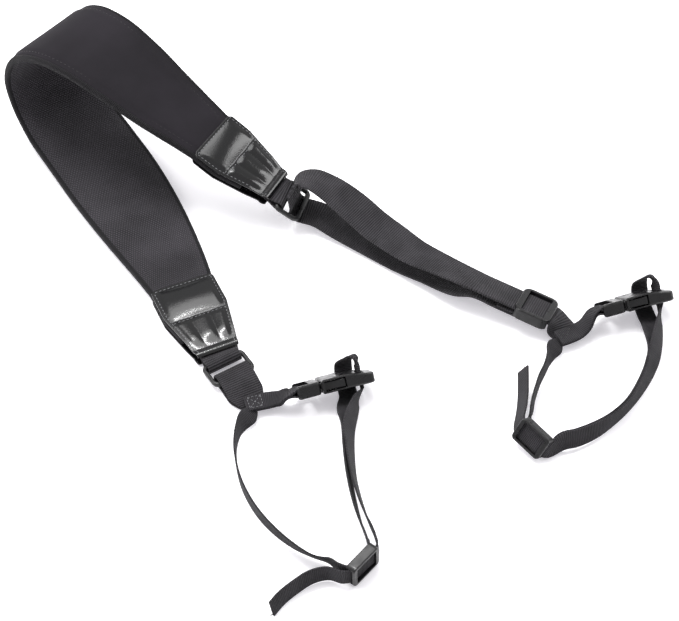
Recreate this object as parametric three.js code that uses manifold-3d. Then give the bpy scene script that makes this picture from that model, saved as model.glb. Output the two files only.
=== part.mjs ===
// Padded shoulder strap with two webbing arms, each ending in a quick-release loop.
// Millimetres, +Z up. The strap lies on a table at z = 0, and the origin is on the table
// under the middle of the whole strap. Arm A is the long adjustable one, arm B the short one.
import * as THREE from "three";
import { mergeVertices } from "three/addons/utils/BufferGeometryUtils.js";
import Module from "manifold-3d";

const wasm = await Module();
wasm.setup();

// ---- driving dimensions ----
const gap = 0.3; // air left between pieces that touch
const runningGap = 0.45; // air left between pieces that slide or turn on each other
const tableShift = [10, 5, 0.3]; // moves the route points so that the origin is under the middle

const padCore = 4.6; // foam thickness
const padSkin = 0.8; // thickness of the face and of the lining
const padMiddleHalf = 36.5; // half width of the pad at its middle
const padTabHalf = 23.2; // half width where the leather tabs start
const padEndHalf = 14.8; // half width at the hems
const bindingWidth = 3.6;
const leather = 1.1;
const tabLengths = { a: 61, b: 69 };

const webWidth = 25; // wide webbing
const webThick = 1.4;
const strapWidth = 12.5; // narrow webbing of the two loops
const strapThick = 1.2;
const strapSpread = 1.6; // distance between the two layers of a loop where they run together
const leadLength = 20; // the part of a loop's webbing that stays with the arm when the buckle opens

const ringBar = 4;
const ringThick = 3.6;
const ringSpacing = 17; // between the centre lines of a ring's two bars
const ringArm = 3;
const ringToHem = 6;
const keeperSlack = 1.2; // how far the keeper's loose fold reaches past its bar
const foldSlack = 3.4; // the same for the arms' webbing

const sliderLength = 26;
const sliderArm = 3;
const sliderBar = 4.4;
const sliderPost = 3.2;
const barThick = 2;
const miniLength = 24;
const miniArm = 1.9;
const miniBar = 3;
const miniBarThick = 1.6;

const buckleWidth = 20;
const buckleThick = 9.6;
const buckleWall = 1.5;
const maleLength = 16;
const maleBar = 1.7; // radius of the bar that the tab strap wraps
const maleBarAt = 2.4;
const femaleFrom = 16.8;
const femaleTo = 53.5;
const cavityTo = 38;
const strapSlotFrom = 42;
const strapSlot = 5;
const windowFrom = 18.6;
const windowTo = 33.4;
const windowHalf = 3.6;
const prongFrom = 16.5;
const prongTo = 34.4;
const prongThick = 5.8;

// ---- routes: x, y, z, then the direction across the band as a bearing and a tilt in degrees ----
const padRoute = [
  [-82, -45, 5.3, 27, 0],
  [-101, -5, 5.3, 25, 0],
  [-120, 36, 5.3, 27, 0],
  [-146, 85, 5.3, 29, 0],
  [-175, 136, 5.8, 30, 0],
  [-190, 160, 7.5, 31, 0],
  [-206, 184, 12.5, 33, 0],
  [-219, 203, 28, 37, 0],
  [-225, 210, 53, 45, 0],
  [-217, 203, 80, 50, 2],
  [-199, 188, 94, 53, 3],
  [-176, 171, 95, 54, 4],
  [-153, 156, 86, 55, 4],
  [-131, 142, 74, 56, 4],
  [-108, 129, 61, 58, 4],
  [-85, 116, 48, 60, 5],
  [-46, 96, 25, 66, 1],
];
const ringAHeading = [-18, -29]; // bearing and dip of ring A, from its hem bar to its free bar
const ringBHeading = [-57, 0];
const webARising = [
  [-33.2, 92.4, 29, 75, -8],
  [-29.6, 96.2, 33.6, 78, -13],
  [-20, 95.2, 35.8, 73, -9],
  [-9.4, 89.4, 34.4, 65, -2],
  [2, 81.6, 30.8, 60, 7],
  [13, 73, 26.6, 59, 13],
  [25, 62.6, 22, 60, 13],
  [38, 51.8, 19.6, 61, 8],
  [53, 38.6, 18.6, 63, -2],
  [73, 24.6, 19.2, 65.5, -12],
];
const webAEnd = [
  [153, -22, 4.4, 50, 0],
  [155.6, -30, 2.6, 35, 0],
];
const webAReturn = [
  [84, 14, 9.4, 66, -13],
  [64, 31, 5.2, 62, -7],
  [46, 45, 3.2, 61, 0],
  [24, 61.5, 2.8, 63, 0],
  [0, 77.5, 5, 66, 0],
  [-15, 86, 8.6, 70, 0],
];
const webB = [
  [-58.3, -86.5, 1.3, 32, 0],
  [-62.5, -78, 1.3, 32, 0],
  [-67, -70, 1.5, 33, 0],
];
const webBRise = [0, 1.9, 4.6]; // how far the upper layer of web B stands over the lower one
const sliderAt = [135.6, -8.6, 12];
const sliderHeading = [-25, -9];
const sliderAcross = [68, -17]; // the slider's far side lies lower than its near side
const buckleA = { at: [178.7, -13.4, 14.2], bearing: 20, roll: -42 };
const buckleB = { at: [-29.3, -85.8, 14.2], bearing: 19, roll: -42 };
const tabStrapA = [
  [149.5, -33.3, 7.4, 118, 0],
  [156, -30.4, 7.4, 118, 0],
  [163, -26.5, 7.8, 117, 0],
  [168.8, -21.6, 9.2, 114, -16],
];
const tabStrapB = [
  [-62, -90, 6.2, 110, 0],
  [-55, -87.8, 6.2, 110, 0],
  [-47, -86.2, 6.7, 109, -3],
  [-40.3, -86.6, 9, 109, -18],
];
const miniA = { at: [124.6, -121, 10.9], along: [-48, -7], lean: [32, 57] };
const miniB = { at: [14, -217, 10.4], along: [50, 0], lean: [140, 88] };
const loopA = {
  leaving: [
    [147, -38.8, 6, 150, 30],
    [143.6, -44, 7, 152, 56],
    [141, -51.5, 8, 156, 78],
    [138, -60, 8.3, 158, 85],
    [133.5, -70, 8.4, 158, 86],
    [129.2, -83, 8.6, 150, 86],
    [126.2, -95, 9, 110, 80],
  ],
  turning: [
    [10.6, -1.8],
    [12.6, -6.2],
  ],
  running: [
    [144.5, -121.6, 8.7, 92, 66],
    [153.5, -118.8, 8.5, 98, 64],
    [166, -112.5, 8.4, 112, 74],
    [177, -104.5, 8.4, 125, 85],
    [189, -92.5, 8.4, 140, 87],
    [200, -76.5, 8.6, 152, 76],
    [208.5, -60, 9.2, 164, 62],
    [213, -46, 10, 175, 48],
  ],
  under: [214.4, -18, 5, 186, 8],
  over: [221.4, -15, 7.8, 238, 50],
  tail: [
    [119.2, -98, 11.4, 8, 61],
    [121, -87, 11.5, -6, 63],
    [121.9, -76, 12.7, -14, 63],
    [122.4, -66, 14.6, -18, 63],
  ],
  spread: 0,
};
const loopB = {
  leaving: [
    [-59.4, -98.4, 5.8, 135, 30],
    [-63, -103.6, 6.8, 142, 56],
    [-65.8, -111, 7.8, 156, 78],
    [-67.4, -123, 8.2, 172, 86],
    [-66.5, -136, 8.2, 185, 87],
    [-61.8, -155.5, 8.2, 200, 87],
    [-52.4, -175, 8.2, 220, 86],
    [-41, -190, 8.2, 240, 82],
    [-28.4, -201.5, 7.9, 255, 73],
    [-16, -209.4, 7.8, 262, 63],
    [-6.4, -213.4, 8.4, 260, 70],
  ],
  turning: [
    [9.6, -0.5],
    [12.6, -1.9],
  ],
  running: [
    [20.6, -202.6, 9.6, 172, 84],
    [18.6, -193.5, 9.1, 178, 80],
    [15, -183, 8.9, 180, 76],
    [10.8, -167, 8.8, 180, 73],
    [7.4, -148, 9, 180, 71],
    [5.8, -127, 9.6, 182, 64],
    [5.5, -112, 10.4, 184, 54],
  ],
  under: [4.4, -90.8, 5, 186, 8],
  over: [11.4, -87.8, 7.8, 238, 50],
  tail: [
    [-7.4, -221.6, 7.8, 150, 80],
    [-17.3, -223.8, 7, 165, 76],
    [-27.7, -231.3, 6.6, 175, 74],
    [-35.2, -238.6, 6.5, 178, 73],
    [-40.6, -246, 6.5, 180, 73],
  ],
  spread: 2.4,
};
// How the strands leave a small slider on its far side, along it and through it.
const strandIn = [[-11.6, -8.6], [-9.4, -3]];
const strandOut = [[-10.4, 0.2], [-14.6, -3.6]];
// Round a buckle's socket, from the strap slot: along, across and through it, then the direction
// across the strap.
const strapRoundSocket = [
  [-8.5, 6.5, -12.5, -1, 0, 0],
  [-7.5, 11.6, -5.6, -1, 0, 0],
  [-6.9, 12.6, 2.6, -1, 0, 0],
  [-5.9, 11.8, 8.8, -1, -0.15, 0],
  [-3.9, 8.2, 12.6, -0.8, -0.6, 0],
  [-1.1, 3.6, 12.4, -0.4, -0.9, 0],
  [0, 0.6, 8.6, 0, -1, 0],
  [0, 0, 4, 0, -1, 0],
  [0, 0, -4, 0, -1, 0],
  [0.1, -0.6, -9, -0.2, -1, 0],
];

// ---- finishes ----
const cloth = (color, roughness) => new THREE.MeshStandardMaterial({ color, roughness, metalness: 0 });
const neoprene = () => cloth(0x141315, 0.92);
const gripMesh = () => cloth(0x1b1a1d, 0.95);
const piping = () => cloth(0x121113, 0.85);
const patent = () => cloth(0x0b0b0c, 0.16);
const nylon = () => cloth(0x151416, 0.78);
const acetal = () => cloth(0x101011, 0.38);

// ---- small helpers ----
const radians = THREE.MathUtils.degToRad;
const vec = (x, y, z) => new THREE.Vector3(x, y, z);

function bearingVector(bearing, tilt) {
  const flat = Math.cos(radians(tilt));
  return vec(flat * Math.cos(radians(bearing)), flat * Math.sin(radians(bearing)), Math.sin(radians(tilt)));
}

// Three directions at right angles, from a heading and a rough direction across it.
function squared(heading, across) {
  const along = bearingVector(...heading);
  const side = bearingVector(...across);
  side.addScaledVector(along, -side.dot(along)).normalize();
  return { along, side, normal: along.clone().cross(side) };
}

function stop([x, y, z, bearing, tilt]) {
  return { at: vec(x, y, z), side: bearingVector(bearing, tilt) };
}

// A flat band along a route. frame(distance) gives its place and its three directions there.
class Band {
  constructor(stops) {
    this.path = new THREE.CatmullRomCurve3(stops.map((s) => s.at));
    this.path.arcLengthDivisions = 30 * stops.length;
    this.sides = new THREE.CatmullRomCurve3(stops.map((s) => s.side), false, "catmullrom", 0.5);
    this.length = this.path.getLength();
  }
  frameAt(t) {
    const along = this.path.getTangent(t);
    const side = this.sides.getPoint(t);
    side.addScaledVector(along, -side.dot(along)).normalize();
    return { at: this.path.getPoint(t), along, side, normal: along.clone().cross(side) };
  }
  frame(distance) {
    const share = THREE.MathUtils.clamp(distance / this.length, 0, 1);
    const found = this.frameAt(this.path.getUtoTmapping(share));
    found.at.addScaledVector(found.along, distance - share * this.length);
    return found;
  }
}

// The stops of a band moved along its normal, each by its own share of the offset.
function shifted(stops, offset, share = () => 1) {
  const band = new Band(stops);
  return stops.map((s, i) => {
    const t = i / (stops.length - 1);
    const here = band.frameAt(t);
    return { at: here.at.addScaledVector(here.normal, offset * share(t)), side: s.side };
  });
}

function rectangle(width, height) {
  const x = width / 2;
  const y = height / 2;
  return new THREE.Shape([[-x, -y], [x, -y], [x, y], [-x, y]].map((p) => new THREE.Vector2(...p)));
}

function bevelled(width, height, cut) {
  const x = width / 2;
  const y = height / 2;
  const corners = [
    [cut - x, -y],
    [x - cut, -y],
    [x, cut - y],
    [x, y - cut],
    [x - cut, y],
    [cut - x, y],
    [-x, y - cut],
    [-x, cut - y],
  ];
  return new THREE.Shape(corners.map((p) => new THREE.Vector2(...p)));
}

function roundRectangle(width, height, radius, path = new THREE.Shape()) {
  const x = width / 2 - radius;
  const y = height / 2 - radius;
  const quarter = Math.PI / 2;
  path.absarc(x, -y, radius, -quarter, 0, false);
  path.absarc(x, y, radius, 0, quarter, false);
  path.absarc(-x, y, radius, quarter, 2 * quarter, false);
  path.absarc(-x, -y, radius, 2 * quarter, 3 * quarter, false);
  path.closePath();
  return path;
}

// A section swept along a band. reshape(distance, x, y) may widen or lift it on the way.
function sweep(band, section, from, to, steps, reshape = (distance, x, y) => [x, y]) {
  const settings = { depth: 1, steps, bevelEnabled: false, curveSegments: 2 };
  const geometry = new THREE.ExtrudeGeometry(section, settings);
  const position = geometry.getAttribute("position");
  for (let i = 0; i < position.count; i++) {
    const distance = from + (to - from) * position.getZ(i);
    const here = band.frame(distance);
    const [x, y] = reshape(distance, position.getX(i), position.getY(i));
    here.at.addScaledVector(here.side, x).addScaledVector(here.normal, y);
    position.setXYZ(i, here.at.x, here.at.y, here.at.z);
  }
  return geometry;
}

// A flat plate with rounded edges, its middle at z = 0.
function plate(shape, thickness, bevel, segments = 2) {
  const geometry = new THREE.ExtrudeGeometry(shape, {
    depth: thickness - 2 * bevel,
    bevelThickness: bevel,
    bevelSize: bevel,
    bevelOffset: -bevel,
    bevelSegments: segments,
    curveSegments: 4,
  });
  return geometry.translate(0, 0, bevel - thickness / 2);
}

function solid(geometry) {
  const bare = new THREE.BufferGeometry();
  bare.setAttribute("position", geometry.getAttribute("position"));
  if (geometry.index) bare.setIndex(geometry.index);
  const merged = mergeVertices(bare, 1e-4);
  return new wasm.Manifold(
    new wasm.Mesh({
      numProp: 3,
      vertProperties: merged.attributes.position.array,
      triVerts: new Uint32Array(merged.index.array),
    }),
  );
}

function geometryOf(made) {
  const mesh = made.getMesh();
  const geometry = new THREE.BufferGeometry();
  geometry.setAttribute("position", new THREE.BufferAttribute(mesh.vertProperties, 3));
  geometry.setIndex(new THREE.BufferAttribute(mesh.triVerts, 1));
  geometry.computeVertexNormals();
  return geometry;
}

function block(x0, x1, y0, y1, z0, z1) {
  const box = new THREE.BoxGeometry(x1 - x0, y1 - y0, z1 - z0);
  return solid(box.translate((x0 + x1) / 2, (y0 + y1) / 2, (z0 + z1) / 2));
}

function piece(name, geometry, material) {
  const mesh = new THREE.Mesh(geometry, material);
  mesh.name = name;
  return mesh;
}

// Stands a piece that was made in its own frame at a place, with its x, y and z along three directions.
function stand(mesh, { at, along, side, normal }) {
  mesh.position.copy(at);
  mesh.quaternion.setFromRotationMatrix(new THREE.Matrix4().makeBasis(along, side, normal));
  return mesh;
}

const inFrame = (frame, x, y, z) =>
  frame.at
    .clone()
    .addScaledVector(frame.along, x)
    .addScaledVector(frame.side, y)
    .addScaledVector(frame.normal, z);

// ---- the pad ----
const pad = new Band(padRoute.map(stop));
const layerGap = 1.5 * gap;
const stack = padCore / 2 + layerGap + padSkin; // from the pad's middle surface to its outside
const coreFrom = 21; // the foam and its skins end inside the leather tabs
const padBend = 60; // how far from a tab the pad reaches its full width
const padSteps = 54;

function padHalf(distance) {
  const fromEnd = Math.min(distance, pad.length - distance);
  const shoulder = 41;
  if (fromEnd < shoulder)
    return THREE.MathUtils.lerp(padEndHalf, padTabHalf, THREE.MathUtils.clamp(fromEnd / shoulder, 0, 1));
  const tabEnd = distance > fromEnd ? tabLengths.a : tabLengths.b;
  const grown = THREE.MathUtils.clamp((fromEnd - tabEnd) / (2.4 * padBend), 0, 1);
  return THREE.MathUtils.lerp(padTabHalf, padMiddleHalf, Math.sin((grown * Math.PI) / 2));
}

// A flat section with extra points across, so that neighbouring layers twist alike.
function ruled(cells) {
  const points = [];
  for (let i = 0; i <= cells; i++) points.push(new THREE.Vector2(-1 + (2 * i) / cells, -0.5));
  for (let i = cells; i >= 0; i--) points.push(new THREE.Vector2(-1 + (2 * i) / cells, 0.5));
  return new THREE.Shape(points);
}

function padLayer(name, low, high, material) {
  const reshape = (distance, x, y) => [
    x * (padHalf(distance) - bindingWidth - gap),
    THREE.MathUtils.lerp(low, high, y + 0.5),
  ];
  const geometry = sweep(pad, ruled(5), coreFrom, pad.length - coreFrom, padSteps, reshape);
  return piece(name, geometry, material);
}

function binding(name, way) {
  const section = bevelled(bindingWidth, 2 * stack, 1.3);
  const reshape = (distance, x, y) => [x + way * (padHalf(distance) - bindingWidth / 2), y];
  return piece(name, sweep(pad, section, coreFrom, pad.length - coreFrom, padSteps, reshape), piping());
}

// The leather lies over the pad and closes onto the webbing keeper towards the hem.
function tab(name, atEnd, face) {
  const near = 1.5 * webThick + 2 * gap;
  const far = stack + gap;
  const lift = (fromEnd) => THREE.MathUtils.lerp(near, far, THREE.MathUtils.smoothstep(fromEnd, 4, coreFrom - 3));
  const reshape = (distance, x, y) => {
    const fromEnd = atEnd ? pad.length - distance : distance;
    return [x * padHalf(distance), face * lift(fromEnd) + y];
  };
  const section = new THREE.Shape(
    [[-1, 0], [1, 0], [1, leather * face], [-1, leather * face]].map((p) => new THREE.Vector2(...p)),
  );
  const length = atEnd ? tabLengths.a : tabLengths.b;
  const from = atEnd ? pad.length - length : 0;
  return piece(name, sweep(pad, section, from, from + length, 16, reshape), patent());
}

// ---- rings, and the webbing that wraps their bars ----
const ringInner = ringSpacing - ringBar;
const webSlot = webWidth + 2 * runningGap + 0.4;
const wrapRadius = ringBar / 2 + 2 * gap + webThick / 2;

function ringFrame(atEnd, [bearing, dip]) {
  const hem = pad.frame(atEnd ? pad.length : 0);
  const outwards = hem.along.clone().multiplyScalar(atEnd ? 1 : -1);
  const along = bearingVector(bearing, dip);
  const side = bearingVector(bearing + 90, 0);
  return {
    at: hem.at.clone().addScaledVector(outwards, ringToHem),
    along,
    side,
    normal: along.clone().cross(side),
  };
}

function ring(name, frame) {
  const shape = roundRectangle(ringSpacing + ringBar, webSlot + 2 * ringArm, 5);
  shape.holes.push(roundRectangle(ringInner, webSlot, 1.2, new THREE.Path()));
  const geometry = plate(shape, ringThick, 1.3).translate(ringSpacing / 2, 0, 0);
  return stand(piece(name, geometry, acetal()), frame);
}

// Points of a wrap round a bar, from angle a to angle b in degrees, in the plane of x and z.
function wrap(frame, x, z, radius, a, b, count) {
  const points = [];
  for (let i = 0; i <= count; i++) {
    const angle = radians(THREE.MathUtils.lerp(a, b, i / count));
    const at = inFrame(frame, x + radius * Math.cos(angle), 0, z + radius * Math.sin(angle));
    points.push({ at, side: frame.side });
  }
  return points;
}

function keeper(name, atEnd, frame) {
  const layer = (webThick + gap) / 2;
  const insideHem = 15;
  const inside = (depth, height) => {
    const here = pad.frame(atEnd ? pad.length - depth : depth);
    const up = atEnd ? 1 : -1; // the pad's normal points down on the arm that lies face up
    const side = here.side.dot(frame.side) < 0 ? here.side.clone().negate() : here.side;
    return { at: here.at.addScaledVector(here.normal, up * height), side };
  };
  const stops = [
    inside(insideHem, layer),
    inside(5, layer),
    inside(0.5, layer + 0.5),
    ...wrap(frame, 0, 0, wrapRadius, 112, 90, 1),
    ...wrap(frame, keeperSlack, 0, wrapRadius, 75, -75, 6),
    ...wrap(frame, 0, 0, wrapRadius, -90, -112, 1),
    inside(0.5, -layer - 0.5),
    inside(5, -layer),
    inside(insideHem, -layer),
  ];
  const band = new Band(stops);
  return piece(name, sweep(band, rectangle(webWidth, webThick), 0, band.length, 30), nylon());
}

// ---- arm A: the adjustable webbing ----
const ringA = ringFrame(true, ringAHeading);
const sliderFrame = {
  at: vec(...sliderAt),
  ...squared(sliderHeading, sliderAcross),
};
const anchorLow = -(webThick / 2 + gap + webThick + gap + barThick + gap + webThick / 2);

function sliderStop(x, z) {
  return { at: inFrame(sliderFrame, x, 0, z), side: sliderFrame.side };
}

function webARunning() {
  const stops = [
    { at: inFrame(ringA, ringSpacing - 0.3, 0, -wrapRadius), side: ringA.side },
    ...wrap(ringA, ringSpacing - foldSlack, 0, wrapRadius, 258, 180, 4),
    { at: inFrame(ringA, ringSpacing - foldSlack - wrapRadius - 0.4, 0, 2.4), side: ringA.side },
    { at: inFrame(ringA, ringSpacing - foldSlack - wrapRadius - 1.6, 0, 5), side: ringA.side },
    ...webARising.map(stop),
    ...[-44, -22, 0, 10].map((x) => sliderStop(x, 0)),
    sliderStop(15.6, -0.8),
    ...webAEnd.map(stop),
  ];
  const band = new Band(stops);
  return piece("web_a_running", sweep(band, rectangle(webWidth, webThick), 0, band.length, 70), nylon());
}

function webAReturning() {
  const stops = [
    sliderStop(-26, anchorLow),
    sliderStop(-42, anchorLow),
    ...webAReturn.map(stop),
    ...wrap(ringA, ringSpacing, 0, wrapRadius, 290, 270, 1),
  ];
  const band = new Band(stops);
  return piece("web_a_return", sweep(band, rectangle(webWidth, webThick), 0, band.length - 0.6, 26), nylon());
}

function webAAnchor() {
  const top = -(webThick + gap);
  const half = sliderPost / 2;
  const stops = [
    [-24.5, anchorLow + webThick + gap],
    [-15, anchorLow + webThick + gap + 0.1],
    [-8, top - 1.1],
    [-half, top],
    [half, top],
    [half + 1.5, (top + anchorLow) / 2],
    [half, anchorLow],
    [-half, anchorLow],
    [-12, anchorLow],
    [-25.5, anchorLow],
  ].map(([x, z]) => sliderStop(x, z));
  const band = new Band(stops);
  return piece("web_a_anchor", sweep(band, rectangle(webWidth, webThick), 0, band.length, 32), nylon());
}

// A three-bar slider: two bars over the webbing, one under it, and an arm at each side.
function slider({ length, slot, arm, bar, post, channelLow, channelHigh, thickness, corner }) {
  const low = channelLow - thickness;
  const high = channelHigh + thickness;
  const width = slot + 2 * arm;
  const outline = plate(roundRectangle(length, width, corner), high - low, Math.min(0.7, thickness / 2));
  const far = length;
  let body = solid(outline.translate(0, 0, (high + low) / 2));
  body = body.subtract(block(-far, far, -slot / 2, slot / 2, channelLow, channelHigh));
  body = body.subtract(block(-far, -post / 2, -slot / 2, slot / 2, low - 1, channelLow + 0.01));
  body = body.subtract(block(post / 2, far, -slot / 2, slot / 2, low - 1, channelLow + 0.01));
  const inner = length / 2 - bar;
  return geometryOf(body.subtract(block(-inner, inner, -slot / 2, slot / 2, channelHigh - 0.01, high + 1)));
}

function sliderA() {
  const low = anchorLow + webThick / 2 + gap + barThick;
  const high = webThick / 2 + runningGap;
  const geometry = slider({
    length: sliderLength,
    slot: webSlot,
    arm: sliderArm,
    bar: sliderBar,
    post: sliderPost,
    channelLow: low,
    channelHigh: high,
    thickness: barThick,
    corner: 6,
  });
  return stand(piece("slider_a", geometry, acetal()), sliderFrame);
}

// ---- the quick-release buckles, each in its own frame: x along it, y across it, z through it ----
function buckleFrame({ at, bearing, roll }) {
  const level = bearingVector(bearing + 90, 0);
  const side = level.multiplyScalar(Math.cos(radians(roll))).addScaledVector(vec(0, 0, 1), Math.sin(radians(roll)));
  const along = bearingVector(bearing, 0);
  return { at: vec(...at), along, side, normal: along.clone().cross(side) };
}

function malePlug() {
  const slotHalf = strapWidth / 2 + 0.6;
  const outline = roundRectangle(maleLength, buckleWidth - 1, 2.6).clone();
  let body = solid(plate(outline, buckleThick - 0.6, 1.4).translate(maleLength / 2, 0, 0));
  body = body.subtract(block(-1, maleLength - 7, -slotHalf, slotHalf, -buckleThick, buckleThick));
  const rod = new THREE.CylinderGeometry(maleBar, maleBar, 2 * slotHalf + 2, 14);
  body = body.add(solid(rod.translate(maleBarAt, 0, 0)));
  return geometryOf(body.add(block(maleLength - 1, 31, -2.6, 2.6, -1.6, 1.6)));
}

// Across the prong, each point is given by how far it lies inside the buckle's side.
function prong(way) {
  const profile = [
    [prongFrom, 5.1],
    [prongTo, 4.1],
    [prongTo, 2.8],
    [windowTo - 0.4, 1.9],
    [windowTo - 0.9, 0.5],
    [windowTo - 2.4, 0.2],
    [windowTo - 5.4, 0.8],
    [windowTo - 9, 1.2],
    [windowFrom + 3, 1.7],
    [windowFrom, 1.9],
    [prongFrom, 2.6],
  ].map(([x, inset]) => new THREE.Vector2(x, (buckleWidth / 2 - inset) * way));
  if (way < 0) profile.reverse();
  return plate(new THREE.Shape(profile), prongThick, 0.5, 1);
}

// The closed end beyond the catch grows thinner and dips.
function taperEnd(geometry) {
  const position = geometry.getAttribute("position");
  for (let i = 0; i < position.count; i++) {
    const share = THREE.MathUtils.smoothstep(position.getX(i), windowTo, femaleTo);
    position.setZ(i, position.getZ(i) * (1 - 0.26 * share) - 2 * share);
  }
  return geometry;
}

function femaleSocket() {
  const half = buckleWidth / 2;
  const outline = new THREE.Shape();
  outline.moveTo(femaleFrom, -half);
  for (const x of [windowTo, cavityTo, cavityTo + 4]) outline.lineTo(x, -half);
  outline.lineTo(femaleTo - 5, -half + 0.8);
  outline.quadraticCurveTo(femaleTo, -half + 1.4, femaleTo, -half + 5);
  outline.lineTo(femaleTo, half - 5);
  outline.quadraticCurveTo(femaleTo, half - 1.4, femaleTo - 5, half - 0.8);
  for (const x of [cavityTo + 4, cavityTo, windowTo]) outline.lineTo(x, half);
  outline.lineTo(femaleFrom, half);
  outline.closePath();
  const slotHalf = strapWidth / 2 + 0.6;
  const inside = half - buckleWall;
  let body = solid(taperEnd(plate(outline, buckleThick, 1.4)));
  body = body.subtract(block(femaleFrom - 2, cavityTo, -inside, inside, -3.3, 3.3));
  body = body.subtract(block(windowFrom, windowTo, -half - 1, half + 1, -windowHalf, windowHalf));
  return geometryOf(
    body.subtract(block(strapSlotFrom, strapSlotFrom + strapSlot, -slotHalf, slotHalf, -buckleThick, buckleThick)),
  );
}

function buckle(arm, placing) {
  const frame = buckleFrame(placing);
  return [
    piece("male_" + arm, malePlug(), acetal()),
    piece("prong_" + arm + "_upper", prong(-1), acetal()),
    piece("prong_" + arm + "_lower", prong(1), acetal()),
    piece("female_" + arm, femaleSocket(), acetal()),
  ].map((mesh) => stand(mesh, frame));
}

// The narrow webbing from an arm's end, round the plug's bar and back.
function tabStrap(arm, rows, placing) {
  const frame = buckleFrame(placing);
  const radius = maleBar + gap + strapThick / 2;
  const layer = (strapThick + gap) / 2 + 0.1;
  const half = rows.at(-1)[4] + 0.6 * (placing.roll - rows.at(-1)[4]);
  const last = { at: inFrame(frame, -4.6, 0, 0), side: bearingVector(placing.bearing + 90, half) };
  const stops = [...rows.map(stop), last];
  const back = shifted(stops, -layer).reverse();
  const round = wrap(frame, maleBarAt, 0, radius, 105, -105, 6);
  const band = new Band([...shifted(stops, layer), ...round, ...back]);
  return piece("tab_strap_" + arm, sweep(band, rectangle(strapWidth, strapThick), 0, band.length, 44), nylon());
}

// ---- the loops of narrow webbing and their small sliders ----
function miniFrame({ at, along, lean }) {
  return { at: vec(...at), ...squared(along, lean) };
}

function miniSlider(name, placing) {
  const channel = strapSpread / 2 + strapThick / 2 + runningGap;
  const slot = strapWidth + 2 * runningGap;
  const geometry = slider({
    length: miniLength,
    slot,
    arm: miniArm,
    bar: miniBar,
    post: miniBar,
    channelLow: -channel,
    channelHigh: channel,
    thickness: miniBarThick,
    corner: 3,
  });
  return stand(piece(name, geometry, acetal()), miniFrame(placing));
}

function loopStrap(arm, loop, miniPlacing, placing) {
  const mini = miniFrame(miniPlacing);
  const socket = buckleFrame(placing);
  const atMini = ([x, z]) => ({ at: inFrame(mini, x, 0, z), side: mini.side });
  const straight = [[-4, 0], [2, 0], [8, 0]].map(atMini);
  const shared = [...straight, ...loop.turning.map(atMini), ...loop.running.map(stop)];
  const bow = (t) => 1 + (loop.spread * Math.sin(Math.PI * t) ** 2);
  const round = strapRoundSocket.map(([x, y, z, a, b, c]) => ({
    at: inFrame(socket, strapSlotFrom + strapSlot / 2 + x, y, z),
    side: inFrame({ ...socket, at: vec(0, 0, 0) }, a, b, c).normalize(),
  }));
  const band = new Band([
    ...loop.leaving.map(stop),
    ...strandIn.map(atMini),
    ...shifted(shared, -strapSpread / 2, bow),
    stop(loop.under),
    ...round,
    stop(loop.over),
    ...shifted(shared, strapSpread / 2, bow).reverse(),
    ...strandOut.map(atMini),
    ...loop.tail.map(stop),
  ]);
  const section = rectangle(strapWidth, strapThick);
  return [
    piece("loop_lead_" + arm, sweep(band, section, 0, leadLength - gap / 2, 8), nylon()),
    piece("loop_strap_" + arm, sweep(band, section, leadLength + gap / 2, band.length, 140), nylon()),
  ];
}

// ---- arm B: the short webbing, folded round its ring ----
const ringB = ringFrame(false, ringBHeading);

function webBFolded() {
  const lower = webB.map(stop);
  const upper = webB.map(([x, y, z, bearing, tilt], i) =>
    stop([x, y, z + webThick + gap + 0.1 + webBRise[i], bearing, tilt]),
  );
  const round = wrap(ringB, ringSpacing - foldSlack, 0, wrapRadius, -84, -276, 6);
  const band = new Band([...lower, ...round, ...upper.reverse()]);
  return piece("web_b", sweep(band, rectangle(webWidth, webThick), 0, band.length, 40), nylon());
}

const strap = new THREE.Group();
strap.name = "padded_strap";
strap.position.set(...tableShift);
strap.add(
  padLayer("pad_core", -padCore / 2, padCore / 2, neoprene()),
  padLayer("pad_face", padCore / 2 + layerGap, stack, neoprene()),
  padLayer("pad_lining", -stack, -padCore / 2 - layerGap, gripMesh()),
  binding("binding_left", -1),
  binding("binding_right", 1),
  tab("tab_a_outer", true, 1),
  tab("tab_a_inner", true, -1),
  tab("tab_b_outer", false, 1),
  tab("tab_b_inner", false, -1),
  keeper("keeper_a", true, ringA),
  keeper("keeper_b", false, ringB),
  ring("ring_a", ringA),
  ring("ring_b", ringB),
  webARunning(),
  webAReturning(),
  webAAnchor(),
  sliderA(),
  webBFolded(),
  ...buckle("a", buckleA),
  ...buckle("b", buckleB),
  tabStrap("a", tabStrapA, buckleA),
  tabStrap("b", tabStrapB, buckleB),
  miniSlider("mini_slider_a", miniA),
  miniSlider("mini_slider_b", miniB),
  ...loopStrap("a", loopA, miniA, buckleA),
  ...loopStrap("b", loopB, miniB, buckleB),
);

export default strap;
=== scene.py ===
import math
import random

import bmesh
import bpy
from mathutils import Matrix, Vector


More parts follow.
